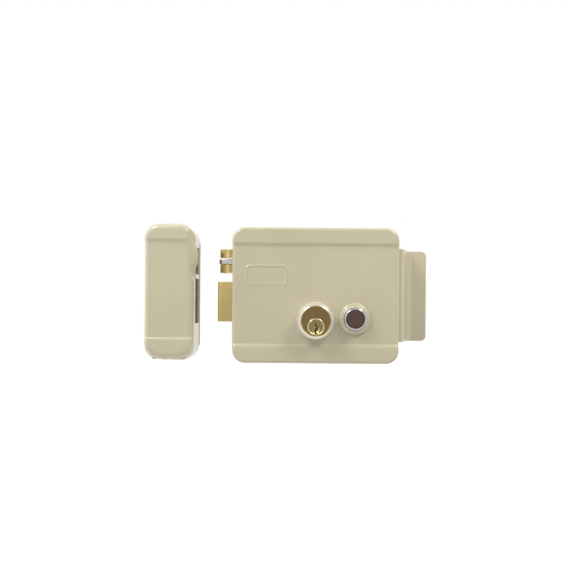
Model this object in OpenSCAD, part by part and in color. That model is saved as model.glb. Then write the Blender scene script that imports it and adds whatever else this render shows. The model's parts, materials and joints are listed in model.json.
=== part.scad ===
// Surface-mounted electric door lock with its separate strike box (keeper).
// Millimetres. Origin at the centre of the lock's back plane, +Z up, front towards -Y.

/* [Lock case] */
// Width of the pressed cover
case_w = 140; // [130:1:160]
// Height of the pressed cover
case_h = 114; // [105:1:125]
// Depth of the case from the door to the raised bands
case_d = 38; // [36:0.5:44]
// Corner radius of the cover in the front view
case_r = 11; // [7:0.5:14]
// Radius along the front edges of the cover
case_edge_r = 3; // [1.8:0.1:4]
// Sheet thickness of the pressed cover
sheet = 1.5; // [1:0.1:1.8]
// Depth of the recessed middle panel below the raised bands
panel_depth = 1.2; // [0.6:0.1:1.4]

/* [Bolts] */
// Length of the main bolt standing out of the case
bolt_out = 14; // [10:0.5:16]
// Height of the main bolt
bolt_h = 34.5; // [28:0.5:35]
// Thickness of the main bolt and of the trigger latch
bolt_t = 14; // [10:0.5:14]
// Length of the trigger latch standing out of the case
trigger_out = 12.8; // [9:0.1:13]
// Thickness of the steel tongue in the trigger latch
tongue_t = 4.3; // [3:0.1:5]

/* [Cylinder and button] */
// Diameter of the brass lock cylinder
cylinder_d = 26; // [24:0.5:26]
// Height of the cylinder face above the middle panel
cylinder_out = 14.5; // [10:0.5:18]
// Diameter of the plug that the key goes in
plug_d = 14.2; // [12:0.1:15]
// Outer diameter of the collar around the cylinder
collar_d = 31; // [30:0.5:34]
// Outer diameter of the push button
button_d = 18.1; // [15:0.1:18.1]
// Height of the push button above the middle panel
button_out = 7.6; // [6:0.1:10]

/* [Keeper] */
// Width of the keeper cover
keeper_w = 42.5; // [40:0.5:46]
// Height of the keeper cover
keeper_h = 117; // [113:1:121]
// Depth of the keeper cover
keeper_d = 33; // [31:0.5:36]
// Gap between the keeper cover and the lock as they are shown
keeper_gap = 33; // [30:0.5:60]

/* [Mounting wing] */
// Reach of the wing past the side of the case
wing_reach = 30; // [29:0.5:36]
// Height of the wing
wing_h = 80; // [60:1:90]

/* [View] */
// Sub-part to show

/* [Hidden] */
$fn = 64;

enamel = [0.78, 0.75, 0.63];
brass = [0.79, 0.66, 0.38];
steel = [0.62, 0.62, 0.62];
zinc = [0.74, 0.73, 0.68];
black = [0.13, 0.13, 0.13];
copper = [0.72, 0.38, 0.22];

hw = case_w / 2;
hh = case_h / 2;
panel_y = -(case_d - panel_depth);
inner_y = panel_y + sheet;
band_top = 42;
band_low = -41;

bolt_z0 = -22.6;
bolt_z1 = bolt_z0 + bolt_h;
bolt_back = -7;
bolt_front = bolt_back - bolt_t;
bolt_mid = (bolt_front + bolt_back) / 2;
bolt_throw = bolt_out - 0.5;
trig_z0 = 19.6;
trig_z1 = 40.1;
trig_mid = (trig_z0 + trig_z1) / 2;
trig_tip = -hw - trigger_out;
trig_rear = trig_tip + 36;
slot_z0 = 26.4;
slot_z1 = 33;
tongue_z0 = slot_z0 + 0.8;
tongue_pin_x = trig_tip + 14;
bolt_tip = -hw - bolt_out;
bolt_rod_y = -15.5;
bolt_rod_z = -5.3;
rivet_z = [-12, 2];
bracket_x = -22;

pin_gap = 0.03;
door_x = 54;
door_z = 48;
cover_screw_x = -30;
cover_screw_y = -12;
catch_x = -22;
catch_z = 11;

cyl_z = -21.1;
plug_z = cyl_z - 4.5;
cyl_face = panel_y - cylinder_out;
btn_x = 32.7;
btn_z = -19.3;
cable_x = 44;
cable_z = -38;
terminal_x = 44;

sol_x0 = 14;
sol_x1 = 56;
sol_mid = (sol_x0 + sol_x1) / 2;
pole_x = 30;
bobbin_l = sol_x1 - sol_x0 - 4.2;

lever_x = -6;
lever_z = 50;
lever_half = bolt_throw / 2;
lever_angle = atan(lever_half / lever_z);
arm_z = 33;
arm_y = -16.3;
arm_half = lever_half * (lever_z - arm_z) / lever_z;

kx1 = -hw - keeper_gap;
kx0 = kx1 - keeper_w;
kxc = (kx0 + kx1) / 2;
kzc = 2;
kz0 = kzc - keeper_h / 2;
kz1 = kzc + keeper_h / 2;

// ---------- helpers ----------

module bx(x0, x1, y0, y1, z0, z1) {
    translate([x0, y0, z0]) cube([x1 - x0, y1 - y0, z1 - z0]);
}

module ycyl(x, z, y_back, y_front, r) {
    translate([x, y_back, z])
        rotate([90, 0, 0])
            cylinder(h = y_back - y_front, r = r);
}

module xcyl(x0, x1, y, z, r) {
    translate([x0, y, z])
        rotate([0, 90, 0])
            cylinder(h = x1 - x0, r = r);
}

module zcyl(x, y, z0, z1, r) {
    translate([x, y, z0]) cylinder(h = z1 - z0, r = r);
}

// Turns a profile of radius and height around a line that runs out of the front.
module turned(x, z, y_back) {
    translate([x, y_back, z])
        rotate([90, 0, 0])
            rotate_extrude() children();
}

// A plan drawn in X and Y, stood up from z0 to z1.
module plan(z0, z1) {
    translate([0, 0, z0]) linear_extrude(height = z1 - z0) children();
}

// A face drawn in X and Z, with its thickness from y_back to y_front.
module face(y_back, y_front) {
    translate([0, y_back, 0])
        rotate([90, 0, 0])
            linear_extrude(height = y_back - y_front) children();
}

module soft_profile(w, d, f) {
    translate([-w / 2, 0]) square([w, d - f]);
    translate([-w / 2 + f, 0]) square([w - 2 * f, d]);
    translate([w / 2 - f, d - f]) circle(f);
    translate([-w / 2 + f, d - f]) circle(f);
}

// A block with rounded corners and a rounded front edge.
module soft_block(xc, zc, w, h, y_back, d, r, f) {
    translate([xc, y_back, zc])
        rotate([90, 0, 0])
            union() {
                for (sx = [-1, 1])
                    for (sz = [-1, 1])
                        translate([sx * (w / 2 - r), sz * (h / 2 - r), 0])
                            rotate_extrude()
                                union() {
                                    square([r, d - f]);
                                    square([r - f, d]);
                                    translate([r - f, d - f]) circle(f);
                                }
                rotate([90, 0, 0])
                    linear_extrude(height = h - 2 * r, center = true)
                        soft_profile(w, d, f);
                rotate([90, 0, 90])
                    linear_extrude(height = w - 2 * r, center = true)
                        soft_profile(h, d, f);
            }
}

module round_plate(xc, zc, w, h, r, y_back, y_front) {
    face(y_back, y_front)
        translate([xc, zc])
            union() {
                square([w - 2 * r, h], center = true);
                square([w, h - 2 * r], center = true);
                for (sx = [-1, 1])
                    for (sz = [-1, 1])
                        translate([sx * (w / 2 - r), sz * (h / 2 - r)]) circle(r);
            }
}

// A wound spring along +Z, flat-sided wire, starting at z = 0.
module coil(len, r, wire, turns) {
    per = 14;
    side = 6;
    n = round(turns * per);
    pts = [for (i = [0:n]) for (j = [0:side - 1])
        let (a = 360 * i / per, b = 360 * j / side, q = r + wire / 2 * cos(b))
        [q * cos(a), q * sin(a), wire / 2 + (len - wire) * i / n + wire / 2 * sin(b)]];
    ends = [[for (j = [0:side - 1]) j], [for (j = [side - 1:-1:0]) n * side + j]];
    walls = [for (i = [0:n - 1]) for (j = [0:side - 1]) for (t = [0:1])
        let (a = i * side + j, b = i * side + (j + 1) % side)
        t == 0 ? [a, a + side, b] : [b, a + side, b + side]];
    polyhedron(points = pts, faces = concat(ends, walls), convexity = 10);
}

// ---------- case ----------

module back_plate() {
    color(zinc)
        difference() {
            round_plate(0, 0, case_w - 3.4, case_h - 3.4, case_r - 1.7, 0, -2);
            for (sx = [-1, 1])
                for (sz = [-1, 1])
                    ycyl(door_x * sx, door_z * sz, 1, -3, 2.6);
            ycyl(0, plug_z, 1, -3, 8);
            ycyl(cable_x, cable_z, 1, -3, 5.05);
            ycyl(lever_x, lever_z, 1, -3, 2 + pin_gap);
            ycyl(catch_x, catch_z, 1, -3, 2 + pin_gap);
        }
}

module forend_plate() {
    color(zinc)
        difference() {
            union() {
                bx(-hw + 1.8, -hw + 3.8, -33, -2, -44, 44);
                bx(-hw + 3.8, -hw + 11, -4, -2, -44, 44);
            }
            bx(-hw, -hw + 12, bolt_front - 0.3, -1, bolt_z0 - 0.3, bolt_z1 + 0.3);
            bx(-hw, -hw + 12, bolt_front - 0.3, -1, trig_z0 - 0.3, trig_z1 + 0.3);
        }
}

module panel_cut(x0, x1, y0, top, low, slope) {
    translate([x0, 0, 0])
        rotate([90, 0, 90])
            linear_extrude(height = x1 - x0)
                polygon([[y0 - 5, top + slope], [y0, top + slope],
                    [y0 + panel_depth, top], [y0 + panel_depth, low],
                    [y0, low - slope], [y0 - 5, low - slope]]);
}

module front_cover() {
    color(enamel)
        difference() {
            soft_block(0, 0, case_w, case_h, 0, case_d, case_r, case_edge_r);
            panel_cut(-hw - 1, hw + 1, -case_d, band_top - 1.4, band_low + 1.2, 2.6);
            soft_block(0, 0, case_w - 2 * sheet, case_h - 2 * sheet, 1,
                1 - inner_y, case_r - sheet, case_edge_r - sheet);
            bx(-hw + 12, hw - 12, -case_d + sheet, inner_y + 1, 45.6, 53.5);
            bx(-hw + 12, hw - 12, -case_d + sheet, inner_y + 1, -53.5, -44.6);
            bx(-hw - 1, -hw + 3, bolt_front - 0.6, bolt_back + 0.6,
                bolt_z0 - 0.6, bolt_z1 + 0.6);
            bx(-hw - 1, -hw + 3, bolt_front - 0.6, bolt_back + 0.6,
                trig_z0 - 0.6, trig_z1 + 0.6);
            bx(hw - 3, hw + 1, wing_y - 0.5, wing_y + wing_t + 0.5,
                wing_zc - wing_h / 2 - 0.7, wing_zc + wing_h / 2 + 0.3);
            ycyl(0, cyl_z, -30, -50, cylinder_d / 2 + 0.3);
            ycyl(btn_x, btn_z, -30, -50, 11);
            for (s = [-1, 1])
                translate([cover_screw_x, cover_screw_y, 0])
                    rotate([90 - 90 * s, 0, 0])
                        rotate_extrude()
                            polygon([[0, hh - 3], [2.3, hh - 3], [2.3, hh - 1.5],
                                [3.9, hh + 0.1], [3.9, hh + 1], [0, hh + 1]]);
        }
}

module cover_lugs() {
    color(zinc)
        for (s = [-1, 1])
            rotate([90 - 90 * s, 0, 0])
                translate([cover_screw_x, s * cover_screw_y, 0])
                    difference() {
                        union() {
                            bx(-6, 6, -8, 8, 52, hh - 1.8);
                            bx(-6, 6, s == 1 ? 8 : -10, s == 1 ? 10 : -8, 44, hh - 1.8);
                        }
                        zcyl(0, 0, 50, 60, 1.65);
                    }
}

module cover_screws() {
    color(zinc)
        for (s = [-1, 1])
            translate([cover_screw_x, cover_screw_y, 0])
                rotate([90 - 90 * s, 0, 0])
                    difference() {
                        rotate_extrude()
                            polygon([[0, 50.5], [1.6, 50.5], [1.6, hh - 1.7],
                                [3.5, hh - 0.1], [3.5, hh], [0, hh]]);
                        for (a = [0, 90])
                            rotate([0, 0, a])
                                translate([-2, -0.4, hh - 1])
                                    cube([4, 0.8, 2]);
                    }
}

// ---------- wing ----------

wing_a = 66;
wing_r1 = 5.5;
wing_r2 = 6.5;
wing_t = 2;
wing_y = -23.5;
wing_x1 = 71.8;
wing_zc = 1;
wing_fall = -wing_t - wing_y - (wing_r1 + wing_r2) * (1 - cos(wing_a));
wing_len = wing_fall / sin(wing_a);
wing_x2 = wing_x1 + (wing_r1 + wing_r2) * sin(wing_a) + wing_len * cos(wing_a);
wing_end = hw + wing_reach;
wing_foot = sol_x1 + 1.4;

function arc(cx, cy, r, a0, a1, n) =
    [for (i = [0:n]) let (a = a0 + (a1 - a0) * i / n) [cx + r * cos(a), cy + r * sin(a)]];

module wing_profile() {
    polygon(concat([[65, wing_y]],
        arc(wing_x1, wing_y + wing_r1, wing_r1, -90, wing_a - 90, 12),
        arc(wing_x2, -wing_t - wing_r2, wing_r2, wing_a + 90, 90, 18),
        [[wing_end, -wing_t], [wing_end, 0]],
        arc(wing_x2, -wing_t - wing_r2, wing_r2 + wing_t, 90, wing_a + 90, 18),
        arc(wing_x1, wing_y + wing_r1, wing_r1 - wing_t, wing_a - 90, -90, 12),
        [[67, wing_y + wing_t], [67, -2], [wing_foot, -2], [wing_foot, -4], [65, -4]]));
}

module mounting_wing() {
    color(enamel)
        difference() {
            intersection() {
                plan(wing_zc - wing_h / 2 - 1, wing_zc + wing_h / 2 + 1) wing_profile();
                round_plate((wing_end + 30) / 2, wing_zc, wing_end - 30, wing_h, 4.5, 2, -30);
            }
            for (s = [-1, 1])
                ycyl(61, 25 * s, 1, -5, 1.6);
        }
}

module wing_rivets() {
    color(steel)
        for (s = [-1, 1])
            turned(61, 25 * s, -2)
                union() {
                    square([1.6, 2]);
                    translate([0, 2]) square([2.8, 1.1]);
                }
}

// ---------- cylinder ----------

module cylinder_housing() {
    color(brass)
        difference() {
            turned(0, cyl_z, -15)
                polygon([[0, 0], [cylinder_d / 2, 0],
                    [cylinder_d / 2, -15 - cyl_face - 0.8],
                    [cylinder_d / 2 - 0.8, -15 - cyl_face], [11.5, -15 - cyl_face],
                    [11.2, -15 - cyl_face - 0.5], [0, -15 - cyl_face - 0.5]]);
            ycyl(0, plug_z, -14, -60, plug_d / 2 + 0.05);
        }
}

module cylinder_collar() {
    color(zinc)
        difference() {
            turned(0, cyl_z, panel_y)
                polygon([[cylinder_d / 2 + 0.06, 0], [collar_d / 2, 0],
                    [collar_d / 2, 2.4], [collar_d / 2 - 0.4, 2.6],
                    [collar_d / 2 - 0.4, 3.1], [collar_d / 2 - 0.1, 3.3],
                    [collar_d / 2 - 0.3, 6.4], [collar_d / 2 - 0.7, 6.6],
                    [collar_d / 2 - 0.7, 7.1], [collar_d / 2 - 0.4, 7.3],
                    [collar_d / 2 - 0.8, 11], [collar_d / 2 - 1.5, 12],
                    [cylinder_d / 2 + 0.06, 12]]);
            xcyl(10, 20, panel_y - 5, cyl_z - 2.4, 1.25);
        }
}

module collar_set_screw() {
    color(zinc)
        difference() {
            xcyl(cylinder_d / 2 + 0.4, collar_d / 2 + 0.9, panel_y - 5, cyl_z - 2.4, 1.2);
            bx(collar_d / 2 + 0.3, collar_d / 2 + 2, panel_y - 5.2, panel_y - 4.8,
                cyl_z - 5, cyl_z + 1);
        }
}

module cylinder_nut() {
    color(zinc)
        difference() {
            ycyl(0, cyl_z, inner_y + 4, inner_y, 17);
            ycyl(0, cyl_z, inner_y + 5, inner_y - 1, cylinder_d / 2 + 0.06);
            for (a = [45:90:315])
                translate([0, inner_y + 5, cyl_z])
                    rotate([90, a, 0])
                        translate([15.5, -1.5, 0]) cube([4, 3, 8]);
        }
}

module key_plug() {
    color(brass)
        difference() {
            union() {
                ycyl(0, plug_z, -14.4, cyl_face - 0.1, plug_d / 2);
                difference() {
                    ycyl(0, plug_z, -20, cyl_face - 0.4, plug_d / 2 - 0.3);
                    ycyl(0, plug_z, -19, cyl_face - 5, plug_d / 2 - 1.5);
                }
            }
            bx(-0.7, 0.7, cyl_face - 3, cyl_face + 26, plug_z - 6, plug_z + 4.2);
            bx(-1.8, 0.4, cyl_face - 3, cyl_face + 26, plug_z + 0.9, plug_z + 2.3);
            bx(-0.4, 1.9, cyl_face - 3, cyl_face + 26, plug_z - 2.4, plug_z - 0.9);
            bx(-1.6, 0.4, cyl_face - 3, cyl_face + 26, plug_z - 5.2, plug_z - 4);
            for (s = [-1, 1])
                ycyl(4.2 * s, plug_z + 2.6, -14, -17.4, 0.85);
            translate([0, 0, plug_z - 3.4])
                rotate([90, 0, 0])
                    translate([0, 0, -cyl_face - 1.4])
                        cylinder(h = 3, r1 = 1, r2 = 3);
        }
}

module plug_cam() {
    color(steel)
        difference() {
            union() {
                ycyl(0, plug_z, -11.2, -14.4, 6.5);
                face(-11.2, -14.4)
                    translate([0, plug_z])
                        polygon([[-4, 0], [4, 0], [3, -12.6], [2, -13], [-2, -13],
                            [-3, -12.6]]);
            }
            bx(-4.5, 4.5, -13, -10, plug_z - 1, plug_z + 1);
            bx(-1, 1, -13, -10, plug_z - 4.5, plug_z + 4.5);
            for (s = [-1, 1])
                ycyl(4.2 * s, plug_z + 2.6, -10, -15, 0.9);
        }
}

module cam_screws() {
    color(zinc)
        for (s = [-1, 1])
            difference() {
                ycyl(4.2 * s, plug_z + 2.6, -10.9, -17.4, 0.85);
                bx(4.2 * s - 1, 4.2 * s + 1, -11.3, -10, plug_z + 2.45, plug_z + 2.75);
            }
}

// ---------- push button ----------

module button_bezel() {
    color(enamel)
        turned(btn_x, btn_z, panel_y + 8)
            polygon([[button_d / 2 + 0.25, 0], [10.8, 0], [10.8, 8], [13.5, 8],
                [13.5, 9.2], [13.2, 10.4], [12.2, 11.6], [11, 12.2],
                [button_d / 2 + 0.25, 12.2]]);
}

module button_nut() {
    color(zinc)
        difference() {
            translate([btn_x, inner_y + 3.5, btn_z])
                rotate([90, 0, 0])
                    cylinder(h = 3.5, r = 14.6, $fn = 6);
            ycyl(btn_x, btn_z, inner_y + 5, inner_y - 1, 10.86);
        }
}

module button_shell() {
    color([0.85, 0.85, 0.87])
        turned(btn_x, btn_z, panel_y + 11)
            polygon([[3.06, 0], [10.6, 0], [10.6, 2.7], [button_d / 2, 2.7],
                [button_d / 2, 10 + button_out], [button_d / 2 - 0.6, 11 + button_out],
                [button_d / 2 - 1.3, 11 + button_out], [7.36, 10.6 + button_out],
                [7.36, 9 + button_out], [3.06, 9 + button_out]]);
}

module button_cap() {
    color([0.35, 0.27, 0.25])
        turned(btn_x, btn_z, panel_y + 2 - button_out)
            polygon([[0, 0], [7.3, 0], [7.3, 1.5], [6.9, 1.9], [0, 2.1]]);
}

module button_stem() {
    color(zinc)
        turned(btn_x, btn_z, -11.6)
            polygon([[0, 0], [1.5, 0], [1.5, 3], [3, 3.6],
                [3, button_out - panel_y - 13.6], [0, button_out - panel_y - 13.6]]);
}

module button_spring() {
    color(steel)
        translate([btn_x, -10.1, btn_z])
            rotate([90, 0, 0])
                coil(15.5, 4.4, 0.9, 8);
}

module switch_body() {
    color(black)
        difference() {
            union() {
                bx(btn_x - 9, btn_x + 9, -10, -2, btn_z - 5.5, btn_z + 5.5);
                bx(btn_x - 12, btn_x - 9, -4, -2, btn_z - 4, btn_z + 4);
            }
            ycyl(btn_x, btn_z, -5.5, -12, 1.9);
        }
}

// ---------- solenoid ----------

module solenoid_frame() {
    color(zinc)
        difference() {
            union() {
                bx(sol_x0, sol_x0 + 2, -31, -2, arm_z - 15, arm_z + 15);
                bx(sol_x1 - 2, sol_x1, -31, -2, arm_z - 15, arm_z + 15);
                bx(sol_x0, sol_x1, -3.8, -2, arm_z - 15, arm_z + 15);
                bx(sol_mid - 8, sol_mid + 8, -3.8, -2, arm_z - 21, arm_z + 21);
            }
            xcyl(sol_x0 - 4, sol_x0 + 6, arm_y, arm_z, 6.9);
            xcyl(sol_x1 - 7, sol_x1 + 3, arm_y, arm_z, 3);
            for (s = [-1, 1])
                ycyl(sol_mid, arm_z + 18 * s, 0, -6, 1.65);
        }
}

module solenoid_screws() {
    color(zinc)
        for (z = [arm_z - 18, arm_z + 18])
            difference() {
                turned(sol_mid, z, -2)
                    union() {
                        square([1.6, 1.8]);
                        translate([0, 1.8]) square([3, 1.9]);
                    }
                bx(sol_mid - 2.5, sol_mid + 2.5, -6, -4.9, z - 0.4, z + 0.4);
            }
}

module coil_bobbin() {
    color(black)
        translate([sol_x0 + 2.1, arm_y, arm_z])
            rotate([0, 90, 0])
                rotate_extrude()
                    polygon([[5.3, 0], [12.3, 0], [12.3, 1.8], [6.5, 1.8],
                        [6.5, bobbin_l - 1.8], [12.3, bobbin_l - 1.8],
                        [12.3, bobbin_l], [5.3, bobbin_l]]);
}

module coil_winding() {
    color(copper)
        difference() {
            xcyl(sol_x0 + 4, sol_x1 - 4, arm_y, arm_z, 12);
            xcyl(sol_x0 + 3, sol_x1 - 3, arm_y, arm_z, 6.55);
        }
}

module pole_piece() {
    color(steel)
        union() {
            xcyl(pole_x, sol_x1 - 2, arm_y, arm_z, 5.2);
            xcyl(sol_x1 - 2, sol_x1 + 2, arm_y, arm_z, 2.95);
        }
}

module armature() {
    color(steel)
        difference() {
            union() {
                xcyl(-13, pole_x - 5, arm_y, arm_z, 5);
                xcyl(1.5, 3, arm_y, arm_z, 7.5);
            }
            bx(-14, -1.5, arm_y - 1.25, arm_y + 1.25, arm_z - 8, arm_z + 8);
            ycyl(lever_x - arm_half, arm_z, 0, -30, 1.5);
        }
}

module armature_pin() {
    color(zinc)
        union() {
            ycyl(lever_x - arm_half, arm_z, arm_y + 5.6, arm_y - 5.2, 1.5);
            ycyl(lever_x - arm_half, arm_z, arm_y - 5.2, arm_y - 6, 2.3);
        }
}

module armature_spring() {
    color(steel)
        translate([3.1, arm_y, arm_z])
            rotate([0, 90, 0])
                coil(sol_x0 - 3.2, 6.1, 0.8, 4.5);
}

// ---------- linkage ----------

module lever_face(extra) {
    face(arm_y + 1 + extra, arm_y - 1 - extra) children();
}

module retractor_lever() {
    reach = lever_z / cos(lever_angle);
    color(zinc)
        translate([lever_x, 0, lever_z])
            rotate([0, lever_angle, 0])
                difference() {
                    union() {
                        lever_face(0) circle(5.2);
                        lever_face(0)
                            polygon([[-5, 0], [5, 0], [3.9, -lever_z - 1],
                                [-3.9, -lever_z - 1]]);
                        lever_face(0) translate([0, -lever_z - 1]) circle(4.1);
                    }
                    lever_face(1) circle(2.56);
                    for (d = [-0.7, 1.1])
                        lever_face(1) translate([0, d - reach]) circle(2.2);
                    lever_face(1)
                        translate([-2.2, -reach - 0.7]) square([4.4, 1.8]);
                    for (d = [-0.5, 0.5])
                        lever_face(1) translate([0, arm_z - lever_z + d]) circle(1.7);
                    lever_face(1)
                        translate([-1.7, arm_z - lever_z - 0.5]) square([3.4, 1]);
                }
}

module pivot_posts() {
    color(steel)
        union() {
            turned(lever_x, lever_z, 0)
                polygon([[0, 0], [2, 0], [2, 2], [4.5, 2], [4.5, -arm_y - 1.2],
                    [2.5, -arm_y - 1.2], [2.5, -arm_y + 2.6], [0, -arm_y + 2.6]]);
            turned(catch_x, catch_z, 0)
                polygon([[0, 0], [2, 0], [2, 2], [4, 2], [4, 6.8], [2, 6.8],
                    [2, 12.2], [0, 12.2]]);
        }
}

module retaining_clips() {
    color(steel)
        union() {
            difference() {
                ycyl(lever_x, lever_z, arm_y - 1.2, arm_y - 2, 4.4);
                ycyl(lever_x, lever_z, arm_y, arm_y - 3, 2.5);
                bx(lever_x - 1.6, lever_x + 1.6, arm_y - 3, arm_y, lever_z, lever_z + 6);
            }
            difference() {
                ycyl(catch_x, catch_z, -10.3, -11.1, 3.6);
                ycyl(catch_x, catch_z, -10, -12, 2);
                bx(catch_x - 1.3, catch_x + 1.3, -12, -10, catch_z, catch_z + 5);
            }
        }
}

module catch_lever() {
    color(zinc)
        face(-7.1, -10.1)
            translate([catch_x, catch_z])
                difference() {
                    union() {
                        circle(3.6);
                        polygon([[0, -2.8], [0, 2], [-16, 1.4], [-19, -0.2],
                            [-20.5, -4.4], [-16.5, -4.4], [-14.8, -2.8]]);
                    }
                    circle(2.06);
                }
}

// ---------- main bolt ----------

module bolt_head() {
    color(brass)
        difference() {
            plan(bolt_z0, bolt_z1)
                union() {
                    translate([bolt_tip + 2, bolt_front]) square([22, bolt_t]);
                    translate([bolt_tip, bolt_front + 2]) square([3, bolt_t - 4]);
                    translate([bolt_tip + 2, bolt_front + 2]) circle(2);
                    translate([bolt_tip + 2, bolt_back - 2]) circle(2);
                }
            bx(bolt_tip + 12, bolt_tip + 25, bolt_back - 3, bolt_back + 1,
                bolt_z0 - 1, bolt_z1 + 1);
            xcyl(bolt_tip + 8.5, bolt_tip + 25, bolt_rod_y, bolt_rod_z, 2.9);
            for (z = rivet_z)
                ycyl(bolt_tip + 18, z, 0, bolt_front + 3, 2 + pin_gap);
        }
}

module bolt_tail() {
    color(steel)
        difference() {
            union() {
                bx(bolt_tip + 12, 8, bolt_back - 3, bolt_back, -16, 6);
                bx(-9, -5, -14.4, bolt_back - 3, -15.5, -10.5);
            }
            for (z = rivet_z)
                ycyl(bolt_tip + 18, z, 0, -20, 2 + pin_gap);
            ycyl(lever_x - lever_half, 0, 0, -20, 2 + pin_gap);
            bx(-44, -34, bolt_back - 4, bolt_back + 1, 4.4, 7);
        }
}

module bolt_rivets() {
    color(steel)
        for (z = rivet_z)
            ycyl(bolt_tip + 18, z, bolt_back, bolt_front + 3, 2);
}

module bolt_pin() {
    color(steel)
        turned(lever_x - lever_half, 0, bolt_back)
            polygon([[0, 0], [2, 0], [2, 3], [3.2, 3], [3.2, 7.9], [2, 7.9],
                [2, 12.2], [0, 12.2]]);
}

module bolt_spring() {
    color(steel)
        translate([bolt_tip + 24.15, bolt_rod_y, bolt_rod_z])
            rotate([0, 90, 0])
                coil(bracket_x - 2.35 - bolt_tip - 24.15, 4.1, 1.2, 10);
}

module bolt_spring_rod() {
    color(steel)
        union() {
            xcyl(-61, bracket_x + 0.1, bolt_rod_y, bolt_rod_z, 2.5);
            xcyl(bracket_x, bracket_x + 1, bolt_rod_y, bolt_rod_z, 3.6);
        }
}

module spring_brackets() {
    color(zinc)
        difference() {
            union() {
                bx(bracket_x - 2, bracket_x, -20.5, -10.6, -21, 2);
                bx(bracket_x - 2, bracket_x, -20.5, -2, -21, -16.6);
                bx(bracket_x - 8, bracket_x, -4, -2, -23, -16.6);
                bx(bracket_x, bracket_x + 2, -20, -2, trig_mid - 8, trig_mid + 8);
                bx(bracket_x - 8, bracket_x + 2, -4, -2, trig_mid - 8, trig_mid + 8);
            }
            xcyl(bracket_x - 4, bracket_x + 2, bolt_rod_y, bolt_rod_z, 2.5 + pin_gap);
            xcyl(bracket_x - 4, bracket_x + 4, bolt_mid, trig_mid, 2 + pin_gap);
        }
}

module guide_rails() {
    color(zinc)
        union() {
            bx(-59, -36, -21, -2, trig_z1 + 0.3, trig_z1 + 3);
            bx(-59, -45, -21, -2, bolt_z1 + 0.4, trig_z0 - 0.3);
            bx(-59, -34, -21, -2, bolt_z0 - 4, bolt_z0 - 0.3);
        }
}

// ---------- trigger latch ----------

module trigger_latch() {
    color(brass)
        difference() {
            plan(trig_z0, trig_z1)
                union() {
                    translate([trig_tip + 7, bolt_front]) square([trig_rear - trig_tip - 7, bolt_t]);
                    translate([trig_tip, bolt_front + 7]) square([8, bolt_t - 10]);
                    translate([trig_tip + 3, bolt_front + 6]) square([8, bolt_t - 6]);
                    translate([trig_tip + 7, bolt_front + 7]) circle(7);
                    translate([trig_tip + 3, bolt_back - 3]) circle(3);
                }
            bx(trig_tip - 1, trig_tip + 20, -30, 0, slot_z0, slot_z1);
            xcyl(trig_tip + 21.6, trig_rear + 1, bolt_mid, trig_mid, 2.5);
            zcyl(tongue_pin_x, bolt_mid, 10, 50, 2 + pin_gap);
        }
}

module trigger_pin() {
    color(steel)
        zcyl(tongue_pin_x, bolt_mid, trig_z0, trig_z1, 2);
}

module trigger_tongue() {
    color(steel)
        plan(tongue_z0, tongue_z0 + tongue_t)
            difference() {
                union() {
                    translate([tongue_pin_x, bolt_mid]) circle(5);
                    translate([tongue_pin_x - 10, bolt_mid - 5]) square([10, 10]);
                    translate([tongue_pin_x - 9.8, bolt_mid]) circle(5);
                }
                translate([tongue_pin_x, bolt_mid]) circle(2.06);
            }
}

module trigger_spring() {
    color(steel)
        translate([trig_rear + 0.15, bolt_mid, trig_mid])
            rotate([0, 90, 0])
                coil(bracket_x - 0.25 - trig_rear - 0.15, 3.4, 1, 9);
}

module trigger_spring_rod() {
    color(steel)
        xcyl(trig_rear - 1, bracket_x + 2.6, bolt_mid, trig_mid, 2);
}

// ---------- wiring ----------

module terminal_block() {
    color([0.85, 0.84, 0.8])
        difference() {
            bx(terminal_x, terminal_x + 13, -14, -2, -9, 10);
            for (z = [-4.5, 5])
                union() {
                    ycyl(terminal_x + 6.5, z, -6, -15, 2.5);
                    xcyl(terminal_x - 1, terminal_x + 14, -7.5, z, 1.6);
                }
        }
}

module terminal_screws() {
    color(zinc)
        for (z = [-4.5, 5])
            difference() {
                ycyl(terminal_x + 6.5, z, -9.4, -13.2, 2.4);
                bx(terminal_x + 4, terminal_x + 9, -14, -12.4, z - 0.35, z + 0.35);
            }
}

module coil_leads() {
    color([0.6, 0.1, 0.08])
        for (x = [2, 5.5])
            zcyl(terminal_x + x, -8, 10.02, 23.5, 0.9);
}

module cable_grommet() {
    color(black)
        turned(cable_x, cable_z, 0)
            polygon([[3.5, 0], [5, 0], [5, 2], [7.5, 2], [7.5, 3.4], [6.6, 4.4],
                [3.9, 4.4], [3.5, 4]]);
}

// ---------- keeper ----------

module ramp(off) {
    difference() {
        plan(2, kz1 + 20)
            polygon([[kx1 - off + 1, -23 + off * 0.6], [kx1 + 9, -23 + off * 0.6],
                [kx1 + 9, -60], [kx1 - 6.5 - off, -60],
                [kx1 - 5.5 - off, -keeper_d + off * 0.6]]);
        translate([kx1 - 6, -70, 22.5])
            rotate([0, 65, 0])
                translate([0, 0, -60]) cube([60, 80, 60]);
    }
}

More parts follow.
